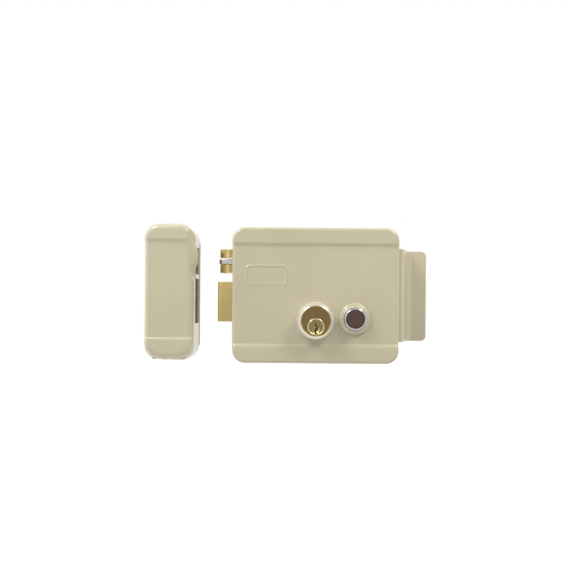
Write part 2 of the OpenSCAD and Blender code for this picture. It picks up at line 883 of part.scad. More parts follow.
module keeper_cover() {
    color(enamel)
        difference() {
            difference() {
                soft_block(kxc, kzc, keeper_w, keeper_h, 0, keeper_d, 13, 5.5);
                ramp(0);
                panel_cut(kx0 + 5, kx1 - 5, -keeper_d, kzc + 42, kzc - 38, 2.6);
            }
            difference() {
                soft_block(kxc, kzc, keeper_w - 2 * sheet, keeper_h - 2 * sheet, 1,
                    1 + keeper_d - panel_depth - sheet, 13 - sheet, 5.5 - sheet);
                ramp(sheet + 0.3);
                bx(kxc - 15, kxc + 15, -34, -12, kz0, kz0 + 3.5);
            }
            bx(kx1 - 3, kx1 + 1, -23, -5, bolt_z0 - 1.6, bolt_z1 + 2.6);
            bx(kx1 - 3, kx1 + 1, -23, -5, trig_z0 - 1.2, trig_z1 + 1.6);
            bx(kx1 - 3, kx1 + 1, -2.6, 1, -45, 47);
            bx(kxc - 13.5, kxc + 13.5, -35, -13.5, kz0 - 1, kz0 + 2);
            zcyl(kxc, -20, kz0 - 1, kz0 + 5, 2.2);
            zcyl(kxc, -20, kz1 - 5, kz1 + 1, 2.2);
        }
}

module keeper_base() {
    color(zinc)
        difference() {
            union() {
                round_plate(kxc, kzc, keeper_w - 3.4, keeper_h - 3.4, 11.3, 0, -2.5);
                bx(kxc, kx1 + 1.5, -2.5, 0, -44.6, 46.6);
            }
            for (z = [-38, 38])
                ycyl(kxc - 6, kzc + z, 1, -4, 2.6);
        }
}

module keeper_pocket() {
    x0 = kx1 - 18;
    color(zinc)
        difference() {
            bx(x0, kx1 - 2, -25.4, -2.5, bolt_z0 - 3, trig_z1 + 3.2);
            bx(x0 + 1.5, kx1, -23.9, -4.2, bolt_z0 - 1.5, bolt_z1 + 2.5);
            bx(x0 + 1.5, kx1, -23.9, -4.2, trig_z0 - 1.2, trig_z1 + 1.7);
            ramp(sheet + 1.2);
        }
}

module keeper_posts() {
    color(zinc)
        for (s = [-1, 1])
            difference() {
                union() {
                    bx(kxc - 6, kxc + 6, -25, -2.5, s > 0 ? kz1 - 6 : kz0 + 3.6,
                        s > 0 ? kz1 - 1.6 : kz0 + 8);
                    bx(kxc - 6, kxc + 6, -4.5, -2.5, s > 0 ? kz1 - 14.5 : kz0 + 3.6,
                        s > 0 ? kz1 - 1.6 : kz0 + 18);
                }
                zcyl(kxc, -20, kz0, kz1, 1.65);
            }
}

module keeper_screw() {
    difference() {
        rotate_extrude()
            polygon([[0, -10], [1.6, -10], [1.6, 0], [3.2, 0], [3.2, 0.5],
                [2.3, 1], [0, 1.1]]);
        for (a = [0, 90])
            rotate([0, 0, a])
                translate([-2, -0.4, 0.5]) cube([4, 0.8, 1]);
    }
}

module keeper_screws() {
    color(zinc)
        union() {
            translate([kxc, -20, kz1]) keeper_screw();
            translate([kxc, -20, kz0 + 2]) rotate([180, 0, 0]) keeper_screw();
        }
}

back_plate();
forend_plate();
front_cover();
cover_lugs();
cover_screws();
mounting_wing();
wing_rivets();
cylinder_housing();
cylinder_collar();
cylinder_nut();
collar_set_screw();
key_plug();
plug_cam();
cam_screws();
button_bezel();
button_nut();
button_shell();
button_cap();
button_stem();
button_spring();
switch_body();
solenoid_frame();
solenoid_screws();
coil_bobbin();
coil_winding();
pole_piece();
armature();
armature_pin();
armature_spring();
retractor_lever();
pivot_posts();
retaining_clips();
catch_lever();
bolt_head();
bolt_tail();
bolt_rivets();
bolt_pin();
bolt_spring();
bolt_spring_rod();
spring_brackets();
guide_rails();
trigger_latch();
trigger_pin();
trigger_tongue();
trigger_spring();
trigger_spring_rod();
terminal_block();
terminal_screws();
coil_leads();
cable_grommet();
keeper_cover();
keeper_base();
keeper_pocket();
keeper_posts();
keeper_screws();
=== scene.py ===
"""Looks and light for a surface-mounted electric door lock and its keeper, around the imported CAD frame.

The helpers work in millimetres: +Z is up, the front faces -Y, and +X points away from the keeper.
"""

import json
import math

import bmesh
import bpy
from mathutils import Matrix, Vector


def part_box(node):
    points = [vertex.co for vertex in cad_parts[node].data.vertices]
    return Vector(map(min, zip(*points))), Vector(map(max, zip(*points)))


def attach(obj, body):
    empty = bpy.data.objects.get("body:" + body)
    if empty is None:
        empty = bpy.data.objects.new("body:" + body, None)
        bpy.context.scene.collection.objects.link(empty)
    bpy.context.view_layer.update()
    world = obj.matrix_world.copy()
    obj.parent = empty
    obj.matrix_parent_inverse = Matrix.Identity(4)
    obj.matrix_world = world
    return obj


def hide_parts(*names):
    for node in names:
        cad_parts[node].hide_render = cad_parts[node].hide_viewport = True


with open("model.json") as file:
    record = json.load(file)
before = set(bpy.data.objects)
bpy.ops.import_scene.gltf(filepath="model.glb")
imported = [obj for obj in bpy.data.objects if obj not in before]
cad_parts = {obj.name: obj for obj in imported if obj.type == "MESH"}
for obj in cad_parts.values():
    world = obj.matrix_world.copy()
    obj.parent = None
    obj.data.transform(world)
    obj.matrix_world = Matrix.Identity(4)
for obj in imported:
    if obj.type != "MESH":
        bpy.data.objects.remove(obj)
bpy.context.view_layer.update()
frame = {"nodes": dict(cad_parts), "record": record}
MM = 0.001
BODY_OF = {n: b for b, ns in frame["record"]["behaviour"]["bodies"].items() for n in ns}
SLOT_OF = {s["node"]: s["material_slot"] for s in frame["record"]["subparts"]}


# ---------------------------------------------------------------- materials

def graph(name):
    mat = bpy.data.materials.new(name)
    mat.use_nodes = True
    nodes, links = mat.node_tree.nodes, mat.node_tree.links
    nodes.clear()
    out = nodes.new("ShaderNodeOutputMaterial")
    bsdf = nodes.new("ShaderNodeBsdfPrincipled")
    links.new(bsdf.outputs["BSDF"], out.inputs["Surface"])
    return mat, nodes, links, bsdf


def coords(nodes, links, scale=(1, 1, 1), rotation=(0, 0, 0)):
    tex = nodes.new("ShaderNodeTexCoord")
    mapping = nodes.new("ShaderNodeMapping")
    mapping.inputs["Scale"].default_value = scale
    mapping.inputs["Rotation"].default_value = rotation
    links.new(tex.outputs["Object"], mapping.inputs["Vector"])
    return mapping.outputs["Vector"]


def noise(nodes, links, vector, scale, detail=3.0, rough=0.55):
    n = nodes.new("ShaderNodeTexNoise")
    n.inputs["Scale"].default_value = scale
    n.inputs["Detail"].default_value = detail
    n.inputs["Roughness"].default_value = rough
    links.new(vector, n.inputs["Vector"])
    return n.outputs["Fac"]


def ramp(nodes, links, value, stops):
    r = nodes.new("ShaderNodeValToRGB")
    while len(r.color_ramp.elements) < len(stops):
        r.color_ramp.elements.new(0.5)
    for e, (pos, col) in zip(r.color_ramp.elements, stops):
        e.position = pos
        e.color = (*col, 1)
    links.new(value, r.inputs["Fac"])
    return r.outputs["Color"]


def remap(nodes, links, value, low, high, start=0.0, end=1.0):
    """Goes from low to high while the value goes from start to end."""
    m = nodes.new("ShaderNodeMapRange")
    for socket, number in (("From Min", start), ("From Max", end), ("To Min", low), ("To Max", high)):
        m.inputs[socket].default_value = number
    links.new(value, m.inputs["Value"])
    return m.outputs["Result"]


def math_node(nodes, links, operation, *values):
    """Each value is a number or another node's output."""
    m = nodes.new("ShaderNodeMath")
    m.operation = operation
    for socket, value in zip(m.inputs, values):
        if isinstance(value, float):
            socket.default_value = value
        else:
            links.new(value, socket)
    return m.outputs[0]


def bump(nodes, links, bsdf, heights):
    """Chains bumps, each given as (value, strength, distance in metres)."""
    last = None
    for value, strength, distance in heights:
        b = nodes.new("ShaderNodeBump")
        b.inputs["Strength"].default_value = strength
        b.inputs["Distance"].default_value = distance
        links.new(value, b.inputs["Height"])
        if last is not None:
            links.new(last, b.inputs["Normal"])
        last = b.outputs["Normal"]
    links.new(last, bsdf.inputs["Normal"])


def enamel(name, colour, rough=0.3):
    """Baked enamel: a slow drift of tone under a clear coat with a little orange peel."""
    mat, nodes, links, bsdf = graph(name)
    v = coords(nodes, links)
    broad = noise(nodes, links, v, 18.0, 2.0)
    dark = tuple(c * 0.965 for c in colour)
    light = tuple(min(1, c * 1.03) for c in colour)
    links.new(ramp(nodes, links, broad, [(0.35, dark), (0.65, light)]), bsdf.inputs["Base Color"])
    fine = noise(nodes, links, v, 900.0, 2.0)
    peel = noise(nodes, links, v, 260.0, 2.0)
    links.new(remap(nodes, links, peel, rough - 0.03, rough + 0.05), bsdf.inputs["Roughness"])
    bump(nodes, links, bsdf, [(peel, 0.05, 0.0002), (fine, 0.03, 0.00008)])
    bsdf.inputs["Coat Weight"].default_value = 0.8
    bsdf.inputs["Coat Roughness"].default_value = 0.07
    return mat


def metal(name, dark, light, rough=0.3, grain=(1, 1, 1), grain_scale=400.0, spread=0.08, bumps=0.12,
          rotation=(0, 0, 0), patina=30.0):
    """Brushed metal: fine streaks stretched along the axis where grain is small, over slow colour drift."""
    mat, nodes, links, bsdf = graph(name)
    v = coords(nodes, links, grain, rotation)
    plain = coords(nodes, links)
    streak = noise(nodes, links, v, grain_scale, 4.0, 0.6)
    drift = noise(nodes, links, plain, patina, 3.0)
    slow = math_node(nodes, links, "MULTIPLY", drift, 0.6)
    tone = math_node(nodes, links, "MULTIPLY_ADD", streak, 0.4, slow)
    links.new(ramp(nodes, links, tone, [(0.3, dark), (0.7, light)]), bsdf.inputs["Base Color"])
    links.new(remap(nodes, links, streak, rough - spread, rough + spread), bsdf.inputs["Roughness"])
    bump(nodes, links, bsdf, [(streak, bumps, 0.00012)])
    bsdf.inputs["Metallic"].default_value = 1.0
    return mat


def plastic(name, colour, rough=0.5, speck=0.02):
    """Moulded plastic or rubber with a fine grain."""
    mat, nodes, links, bsdf = graph(name)
    v = coords(nodes, links)
    n = noise(nodes, links, v, 350.0, 3.0)
    dark = tuple(max(0, c - speck) for c in colour)
    light = tuple(min(1, c + speck) for c in colour)
    links.new(ramp(nodes, links, n, [(0.3, dark), (0.7, light)]), bsdf.inputs["Base Color"])
    links.new(remap(nodes, links, n, rough - 0.06, rough + 0.06), bsdf.inputs["Roughness"])
    bump(nodes, links, bsdf, [(n, 0.12, 0.00015)])
    return mat


def wound_copper(name):
    """Enamelled wire, its turns side by side along X."""
    mat, nodes, links, bsdf = graph(name)
    v = coords(nodes, links, (1, 0.02, 0.02))
    w = nodes.new("ShaderNodeTexWave")
    w.bands_direction = "X"
    w.inputs["Scale"].default_value = 900.0
    w.inputs["Distortion"].default_value = 0.6
    links.new(v, w.inputs["Vector"])
    links.new(ramp(nodes, links, w.outputs["Fac"], [(0.1, (0.09, 0.025, 0.01)), (0.6, (0.42, 0.14, 0.05))]),
              bsdf.inputs["Base Color"])
    bsdf.inputs["Roughness"].default_value = 0.28
    bsdf.inputs["Coat Weight"].default_value = 0.6
    bump(nodes, links, bsdf, [(w.outputs["Fac"], 0.5, 0.0002)])
    return mat


def tongue_with_painted_shade(name):
    """Ground steel with painted shade: browner and duller towards the tip, which lies towards -X, for the
    rounded tip turning away from the light.
    """
    mat, nodes, links, bsdf = graph(name)
    tip_x, shade_end_x = -0.0835, -0.0765
    split = nodes.new("ShaderNodeSeparateXYZ")
    links.new(coords(nodes, links), split.inputs[0])
    # Painted shade: the colour darkens from the plain steel to the tip.
    along = remap(nodes, links, split.outputs["X"], 0.0, 1.0, tip_x, shade_end_x)
    scratch = noise(nodes, links, coords(nodes, links, (0.06, 1, 1)), 900.0, 3.0)
    tone = math_node(nodes, links, "MULTIPLY_ADD", scratch, 0.35, along)
    links.new(ramp(nodes, links, tone, [(0.1, (0.20, 0.17, 0.12)), (0.9, (0.86, 0.85, 0.81))]),
              bsdf.inputs["Base Color"])
    links.new(remap(nodes, links, scratch, 0.36, 0.5), bsdf.inputs["Roughness"])
    bump(nodes, links, bsdf, [(scratch, 0.15, 0.0001)])
    bsdf.inputs["Metallic"].default_value = 1.0
    return mat


MATS = {
    "enamel": enamel("case_enamel", (0.545, 0.492, 0.330)),
    "keeper_enamel": enamel("keeper_enamel", (0.555, 0.507, 0.350)),
    "brass": metal("drawn_brass", (0.74, 0.58, 0.24), (0.88, 0.70, 0.31), 0.42,
                   grain=(1, 1, 0.3), grain_scale=900.0),
    "latch_brass": metal("bright_brass", (0.72, 0.54, 0.20), (0.88, 0.70, 0.33), 0.26,
                         grain=(1, 1, 0.05), grain_scale=500.0),
    # Painted shade: the cylinder's face and the plug get darker copies of the brass, for the dark front that
    # their flat faces mirror.
    "face_brass": metal("face_brass", (0.30, 0.20, 0.085), (0.42, 0.295, 0.14), 0.33,
                        grain=(1, 1, 0.04), grain_scale=700.0),
    "plug_brass": metal("plug_brass", (0.38, 0.30, 0.13), (0.52, 0.42, 0.20), 0.24,
                        grain=(1, 1, 0.1), grain_scale=600.0, spread=0.05, bumps=0.05),
    "rim_brass": metal("rim_brass", (0.80, 0.66, 0.34), (0.94, 0.80, 0.46), 0.2,
                       spread=0.04, bumps=0.03),
    "zinc_plate": metal("zinc_plate", (0.62, 0.61, 0.57), (0.78, 0.77, 0.73), 0.36,
                        grain=(0.15, 1, 1), grain_scale=300.0, patina=60.0),
    "screw_steel": metal("screw_steel", (0.36, 0.35, 0.32), (0.56, 0.55, 0.52), 0.32, grain_scale=500.0),
    "collar_nickel": metal("collar_nickel", (0.88, 0.87, 0.85), (0.96, 0.95, 0.93), 0.5,
                           grain=(1, 0.2, 1), grain_scale=500.0),
    "chrome": metal("chrome", (0.74, 0.75, 0.77), (0.80, 0.80, 0.81), 0.07,
                    grain_scale=200.0, spread=0.02, bumps=0.01),
    "cap_dark": metal("cap_dark", (0.12, 0.072, 0.062), (0.34, 0.23, 0.195), 0.36,
                      grain=(0.06, 1, 1), grain_scale=900.0, rotation=(0, math.radians(-40), 0)),
    "steel": metal("ground_steel", (0.30, 0.29, 0.27), (0.50, 0.49, 0.46), 0.33, grain=(0.1, 1, 1)),
    "spring_steel": metal("spring_steel", (0.26, 0.26, 0.25), (0.44, 0.43, 0.42), 0.3),
    "black_plastic": plastic("black_plastic", (0.03, 0.03, 0.03), 0.45, 0.01),
    "winding_copper": wound_copper("winding_copper"),
    "terminal_plastic": plastic("terminal_plastic", (0.62, 0.60, 0.52), 0.42, 0.02),
    "lead_red": plastic("lead_red", (0.35, 0.02, 0.015), 0.35, 0.02),
    "rubber_black": plastic("rubber_black", (0.02, 0.02, 0.021), 0.62, 0.008),
}
# The tongue's steel has painted shade towards its tip.
MATS["tongue_steel"] = tongue_with_painted_shade("tongue_steel")
for name, obj in frame["nodes"].items():
    obj.data.materials.clear()
    obj.data.materials.append(MATS[SLOT_OF[name]])

# ---------------------------------------------------------------- mesh helpers


def mark_edges(bm, angle):
    """Shades all faces smooth, and keeps an edge sharp where its faces turn by more than the angle."""
    limit = math.radians(angle)
    for e in bm.edges:
        e.smooth = len(e.link_faces) == 2 and e.calc_face_angle(0) < limit
    for f in bm.faces:
        f.smooth = True


def finish_mesh(bm, name, node, mat=None, sharp=35.0, stands_for=()):
    """Turns a bmesh in millimetres into a piece that rides with the body of a CAD node."""
    bmesh.ops.remove_doubles(bm, verts=bm.verts, dist=0.0008)
    bmesh.ops.dissolve_degenerate(bm, edges=bm.edges, dist=0.0005)
    bmesh.ops.recalc_face_normals(bm, faces=bm.faces)
    bmesh.ops.scale(bm, vec=(MM, MM, MM), verts=bm.verts)
    mark_edges(bm, sharp)
    mesh = bpy.data.meshes.new(name)
    bm.to_mesh(mesh)
    bm.free()
    obj = bpy.data.objects.new(name, mesh)
    bpy.context.scene.collection.objects.link(obj)
    mesh.materials.append(MATS[mat or SLOT_OF[node]])
    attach(obj, BODY_OF[node])
    if stands_for:
        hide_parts(*stands_for)
    return obj


def lathe_into(bm, profile, x, z, y_base, segments=96, closed=True):
    """Turns (radius, height) points around a line along -Y through (x, z)."""
    rings = []
    for r, h in profile:
        if r < 1e-6:
            rings.append([bm.verts.new((x, y_base - h, z))])
        else:
            rings.append([bm.verts.new((x + r * math.cos(2 * math.pi * i / segments), y_base - h,
                                        z + r * math.sin(2 * math.pi * i / segments)))
                          for i in range(segments)])
    pairs = list(zip(rings, rings[1:]))
    if closed and len(rings[0]) > 1 and len(rings[-1]) > 1:
        pairs.append((rings[-1], rings[0]))
    for a, b in pairs:
        for i in range(segments):
            j = (i + 1) % segments
            if len(a) == 1 and len(b) == 1:
                continue
            if len(a) == 1:
                bm.faces.new((a[0], b[i], b[j]))
            elif len(b) == 1:
                bm.faces.new((a[i], b[0], a[j]))
            else:
                bm.faces.new((a[i], b[i], b[j], a[j]))


def bridge(bm, a, b):
    """Walls between two closed loops with as many points each."""
    for i in range(len(a)):
        j = (i + 1) % len(a)
        bm.faces.new((a[i], a[j], b[j], b[i]))


def arc(cx, cy, r, a0, a1, n):
    """Points on an arc around (cx, cy), from angle a0 to a1 in degrees, in n steps."""
    turns = [math.radians(a0 + (a1 - a0) * i / n) for i in range(n + 1)]
    return [(cx + r * math.cos(a), cy + r * math.sin(a)) for a in turns]


def smooth(t):
    """0 to 1 with level ends."""
    t = max(0.0, min(1.0, t))
    return t * t * (3 - 2 * t)


def spaced(lo, hi, step, dense=(), fine=0.35):
    """Numbers from lo to hi, about step apart, and fine apart inside the dense stretches."""
    out, v = [lo], lo
    while v < hi - 1e-6:
        near = any(a - fine <= v < b for a, b in dense)
        v = min(hi, v + (fine if near else step))
        out.append(v)
    if len(out) > 2 and out[-1] - out[-2] < 0.25 * fine:
        out.pop(-2)
    return out


def pressed_shell(bm, xc, zc, w, h, r, edge, depth_at, xs, zs, corner=14, limit=None):
    """The outer skin of a pressed cover, open at y = 0: side walls, rounded front edge and front."""
    x0, x1, z0, z1 = xc - w / 2 + r, xc + w / 2 - r, zc - h / 2 + r, zc + h / 2 - r
    turn = [math.radians(90 * i / corner) for i in range(corner)]
    base = [(x, z0, 0, -1) for x in xs[:-1]]
    base += [(x1, z0, math.sin(a), -math.cos(a)) for a in turn]
    base += [(x1, z, 1, 0) for z in zs[:-1]]
    base += [(x1, z1, math.cos(a), math.sin(a)) for a in turn]
    base += [(x, z1, 0, 1) for x in reversed(xs[1:])]
    base += [(x0, z1, -math.sin(a), math.cos(a)) for a in turn]
    base += [(x0, z, -1, 0) for z in reversed(zs[1:])]
    base += [(x0, z0, -math.cos(a), -math.sin(a)) for a in turn]

    def put(x, z, depth):
        return bm.verts.new((x, -(limit(x, z, depth) if limit else depth), z))

    def ring(inward, depth_of):
        spots = [(bx + nx * (r - inward), bz + nz * (r - inward)) for bx, bz, nx, nz in base]
        return [put(x, z, depth_of(depth_at(x, z))) for x, z in spots]

    rings = [ring(0, lambda depth: (depth - edge) * t) for t in (0, 0.06, 0.25, 0.5, 0.75, 1.0)]
    n_edge = max(6, int(edge * 2.2))
    for i in range(1, n_edge + 1):
        a = math.radians(90 * i / n_edge)
        rings.append(ring(edge * (1 - math.cos(a)), lambda depth: depth - edge + edge * math.sin(a)))
    n_flat = max(4, int((r - edge) / 0.8))
    for i in range(1, n_flat + 1):
        rings.append(ring(edge + (r - edge) * i / n_flat, lambda depth: depth))
    for a, b in zip(rings, rings[1:]):
        bridge(bm, a, b)
    grid = [[put(x, z, depth_at(x, z)) for x in xs] for z in zs]
    for r0, r1 in zip(grid, grid[1:]):
        for i in range(len(xs) - 1):
            bm.faces.new((r0[i], r0[i + 1], r1[i + 1], r1[i]))


def box_into(bm, x0, x1, y0, y1, z0, z1):
    centre = Matrix.Translation(((x0 + x1) / 2, (y0 + y1) / 2, (z0 + z1) / 2))
    bmesh.ops.create_cube(bm, size=1.0, matrix=centre @ Matrix.Diagonal((x1 - x0, y1 - y0, z1 - z0, 1)))


def cut(obj, make):
    """Takes a closed shape away from a finished piece. make(bm) fills a bmesh in millimetres."""
    bm = bmesh.new()
    make(bm)
    bmesh.ops.recalc_face_normals(bm, faces=bm.faces)
    bmesh.ops.scale(bm, vec=(MM, MM, MM), verts=bm.verts)
    mesh = bpy.data.meshes.new("cutter")
    bm.to_mesh(mesh)
    bm.free()
    tool = bpy.data.objects.new("cutter", mesh)
    bpy.context.scene.collection.objects.link(tool)
    mod = obj.modifiers.new("cut", "BOOLEAN")
    mod.operation, mod.solver, mod.object = "DIFFERENCE", "EXACT", tool
    bake(obj)
    bpy.data.objects.remove(tool)


def bake(obj):
    """Applies the modifiers of a piece."""
    dg = bpy.context.evaluated_depsgraph_get()
    made = bpy.data.meshes.new_from_object(obj.evaluated_get(dg))
    obj.modifiers.clear()
    obj.data = made


def sharpen(obj, angle=35.0):
    """Marks the sharp edges again, after a cut."""
    bm = bmesh.new()
    bm.from_mesh(obj.data)
    mark_edges(bm, angle)
    bm.to_mesh(obj.data)
    bm.free()


def shell_walls(obj, thickness):
    """Thickens a skin inwards."""
    mod = obj.modifiers.new("sheet", "SOLIDIFY")
    mod.thickness = thickness * MM
    mod.offset = -1.0
    mod.use_even_offset = True
    bake(obj)


# ---------------------------------------------------------------- lock cover

def corners(node):
    """Lowest and highest corner of a CAD node, in millimetres."""
    low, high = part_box(node)
    return Vector(low) / MM, Vector(high) / MM


def rounded_box_distance(x, z, half_w, half_h, r):
    """How far a point is outside a rounded rectangle around the origin; less than 0 inside."""
    qx, qz = abs(x) - half_w + r, abs(z) - half_h + r
    return math.hypot(max(qx, 0), max(qz, 0)) + min(max(qx, qz), 0) - r


case_low, case_high = corners("front_cover")
CASE_W, CASE_H, CASE_D = case_high.x - case_low.x, case_high.z - case_low.z, -case_low.y
CASE_R, CASE_EDGE, SHEET, PANEL = 11.0, 3.0, 1.5, 1.2
PANEL_Y = case_low.y + PANEL
TOP_STEP_Z, TOP_STEP_H = 43.9, 2.8
LOW_STEP_Z, LOW_STEP_H = -41.6, 1.1
BADGE_X, BADGE_Z, BADGE_W, BADGE_H, BADGE_R, BADGE_RIDGE = -41.0, 17.0, 34.0, 15.0, 3.0, 0.5
COVER_SCREW_X, COVER_SCREW_Y = -30.0, -12.0
SLOT_GAP = 0.6


def slope(t):
    """0 to 1 in a straight line with slightly rounded ends."""
    t = max(0.0, min(1.0, t))
    return 0.75 * t + 0.25 * smooth(t)


def case_depth(x, z):
    """How far the front stands out: a sunk panel between two raised bands, with a plain ridge on it."""
    sunk = slope((TOP_STEP_Z - z) / TOP_STEP_H) * slope((z - LOW_STEP_Z) / LOW_STEP_H)
    edge = abs(rounded_box_distance(x - BADGE_X, z - BADGE_Z, BADGE_W / 2, BADGE_H / 2, BADGE_R))
    return CASE_D - PANEL * sunk + BADGE_RIDGE * smooth(1 - edge / 1.1)


def make_lock_cover():
    half_w, half_h = BADGE_W / 2 + 1.5, BADGE_H / 2 + 1.5
    # Stretches that need a fine mesh: the ridge's edges and the two steps.
    across = [(BADGE_X - half_w, BADGE_X - half_w + 5), (BADGE_X + half_w - 5, BADGE_X + half_w)]
    up = [(-41.9, -40.2), (BADGE_Z - half_h, BADGE_Z + half_h), (40.8, 44.2)]
    bm = bmesh.new()
    pressed_shell(bm, 0, 0, CASE_W, CASE_H, CASE_R, CASE_EDGE, case_depth,
                  spaced(-CASE_W / 2 + CASE_R, CASE_W / 2 - CASE_R, 2.5, across, 0.4),
                  spaced(-CASE_H / 2 + CASE_R, CASE_H / 2 - CASE_R, 2.5, up, 0.3))
    cover = finish_mesh(bm, "lock_cover", "front_cover", stands_for=["front_cover"], sharp=60)
    shell_walls(cover, SHEET)
    for node in ("bolt_head", "trigger_latch"):
        low, high = corners(node)
        cut(cover, lambda b: box_into(b, case_low.x - 2, case_low.x + 3, low.y - SLOT_GAP, high.y + SLOT_GAP,
                                      low.z - SLOT_GAP, high.z + SLOT_GAP))
    low, high = corners("mounting_wing")
    cut(cover, lambda b: box_into(b, case_high.x - 3, case_high.x + 2, low.y - 0.5, low.y + 2.5,
                                  low.z - 0.7, high.z + 0.3))
    for x, z, r in ((0, CYL_Z, 13.3), (BTN_X, BTN_Z, 11.0)):
        cut(cover, lambda b: lathe_into(b, [(0, 0), (r, 0), (r, 20), (0, 20)], x, z, -25, closed=False))
    for s in (-1, 1):
        cut(cover, lambda b: screw_dimple(b, COVER_SCREW_X, COVER_SCREW_Y, s))
    sharpen(cover, 38)


def screw_dimple(bm, x, y, s):
    """A countersunk hole in the top (s = 1) or the bottom (s = -1) of the lock cover."""
    lathe_into(bm, [(0, 0), (2.3, 0), (2.3, 1.5), (3.9, 3.1), (3.9, 4), (0, 4)], 0, 0, 0, 48, closed=False)
    turn = Matrix.Rotation(math.radians(-90 * s), 4, "X")
    bmesh.ops.transform(bm, matrix=Matrix.Translation((x, y, s * (CASE_H / 2 - 3))) @ turn, verts=bm.verts)


# ---------------------------------------------------------------- keeper cover

keep_low, keep_high = corners("keeper_cover")
KEEP_R, KEEP_EDGE = 13.0, 5.5
KEEP_D = -keep_low.y
KEEP_X = (keep_low.x + keep_high.x) / 2


def soft_min(a, b, k):
    """The smaller of two numbers, with a rounded change from one to the other."""
    h = max(0.0, min(1.0, 0.5 + 0.5 * (b - a) / k))
    return b * (1 - h) + a * h - k * h * (1 - h)


def keeper_depth(x, z):
    """How far the front stands out: a sunk panel, and a lower end that rolls back along an arc."""
    sunk = slope((keep_high.z - 13.2 - z) / 3.3) * slope((z - keep_low.z - 19.2) / 1.3)
    arc_r, arc_foot, roll_r = 30.0, 8.4, 12.0
    away = math.hypot(x - KEEP_X, z - (keep_low.z + arc_foot + arc_r)) - arc_r
    rolls = away > 0 and z < keep_low.z + 24
    fall = roll_r - math.sqrt(roll_r ** 2 - min(11.5, away) ** 2) if rolls else 0.0
    return KEEP_D - PANEL * sunk - fall


def keeper_limit(x, z, depth):
    """The ramp that the latch rides up: it slants back from the front to the lock's side."""
    ramp_run, ramp_fall, end_z, end_turn = 6.5, 10.0, 22.5, math.radians(65)
    slant = KEEP_D + (keep_high.x - 5.5 - x) * ramp_fall / ramp_run
    along = (x - keep_high.x + 6) * math.sin(end_turn) + (z - end_z) * math.cos(end_turn)
    slant += 14 * smooth(0.5 - along / 3.2)
    return soft_min(depth, slant, 1.1)


def make_keeper_cover():
    bm = bmesh.new()
    steps = [(keep_low.z + 18.6, keep_low.z + 21), (6.0, 27.0), (keep_high.z - 17, keep_high.z - 13)]
    pressed_shell(bm, KEEP_X, (keep_low.z + keep_high.z) / 2, keep_high.x - keep_low.x,
                  keep_high.z - keep_low.z, KEEP_R, KEEP_EDGE, keeper_depth,
                  spaced(keep_low.x + KEEP_R, keep_high.x - KEEP_R, 1.5),
                  spaced(keep_low.z + KEEP_R, keep_high.z - KEEP_R, 2.0, steps, 0.45), 18, keeper_limit)
    # The rim beside the latch opening bulges towards the lock.
    for v in bm.verts:
        if v.co.x > keep_high.x - 4:
            out = smooth((-v.co.y - 15) / 8) * math.exp(-((v.co.z - 33.0) / 8.5) ** 4)
            v.co.x += 2.6 * out * smooth((v.co.x - keep_high.x + 4) / 4)
    cover = finish_mesh(bm, "keeper_shell", "keeper_cover", stands_for=["keeper_cover"], sharp=60)
    shell_walls(cover, SHEET)
    for node, under, over in (("bolt_head", 1.6, 2.6), ("trigger_latch", 1.2, 1.6)):
        low, high = corners(node)
        cut(cover, lambda b: box_into(b, keep_high.x - 3, keep_high.x + 3, -23, -5,
                                      low.z - under, high.z + over))
    cut(cover, lambda b: box_into(b, keep_high.x - 3, keep_high.x + 3, -2.6, 1, -45, 47))
    cut(cover, lambda b: box_into(b, KEEP_X - 13.5, KEEP_X + 13.5, -35, -13.5,
                                  keep_low.z - 1, keep_low.z + 2))
    sharpen(cover, 38)
    bm = bmesh.new()
    box_into(bm, KEEP_X - 14, KEEP_X + 14, -29, -12, keep_low.z + 2, keep_low.z + 3.4)
    bmesh.ops.bevel(bm, geom=bm.edges[:], offset=0.3, segments=2, affect="EDGES")
    finish_mesh(bm, "keeper_screw_ledge", "keeper_cover")


def make_keeper_base():
    """The plate behind the keeper's cover, whose edge shows along the lock's side."""
    low, high = corners("keeper_base")
    r, side = 11.3, keep_high.x - 1.7
    lip_x, top, foot = keep_high.x + 0.4, 46.6, -44.6
    rim = []
    for cx, cz, a0 in ((side - r, high.z - r, 0), (low.x + r, high.z - r, 90),
                       (low.x + r, low.z + r, 180), (side - r, low.z + r, 270)):
        rim += arc(cx, cz, r, a0, a0 + 90, 14)
    rim = [p for p in rim if not (p[0] > side - 1 and foot < p[1] < top)]
    rim += [(side, foot), (lip_x, foot), (lip_x, top), (side, top)]
    bm = bmesh.new()
    front = [bm.verts.new((x, low.y, z)) for x, z in rim]
    back = [bm.verts.new((x, high.y, z)) for x, z in rim]
    bm.faces.new(front)
    bm.faces.new(list(reversed(back)))
    bridge(bm, front, back)
    base = finish_mesh(bm, "keeper_back_plate", "keeper_base", stands_for=["keeper_base"])
    mid = (keep_low.z + keep_high.z) / 2
    for z in (mid - 38, mid + 38):
        cut(base, lambda b: lathe_into(b, [(0, 0), (2.6, 0), (2.6, 8), (0, 8)], KEEP_X - 6, z, 3, 48, False))
    sharpen(base)


# ---------------------------------------------------------------- mounting wing

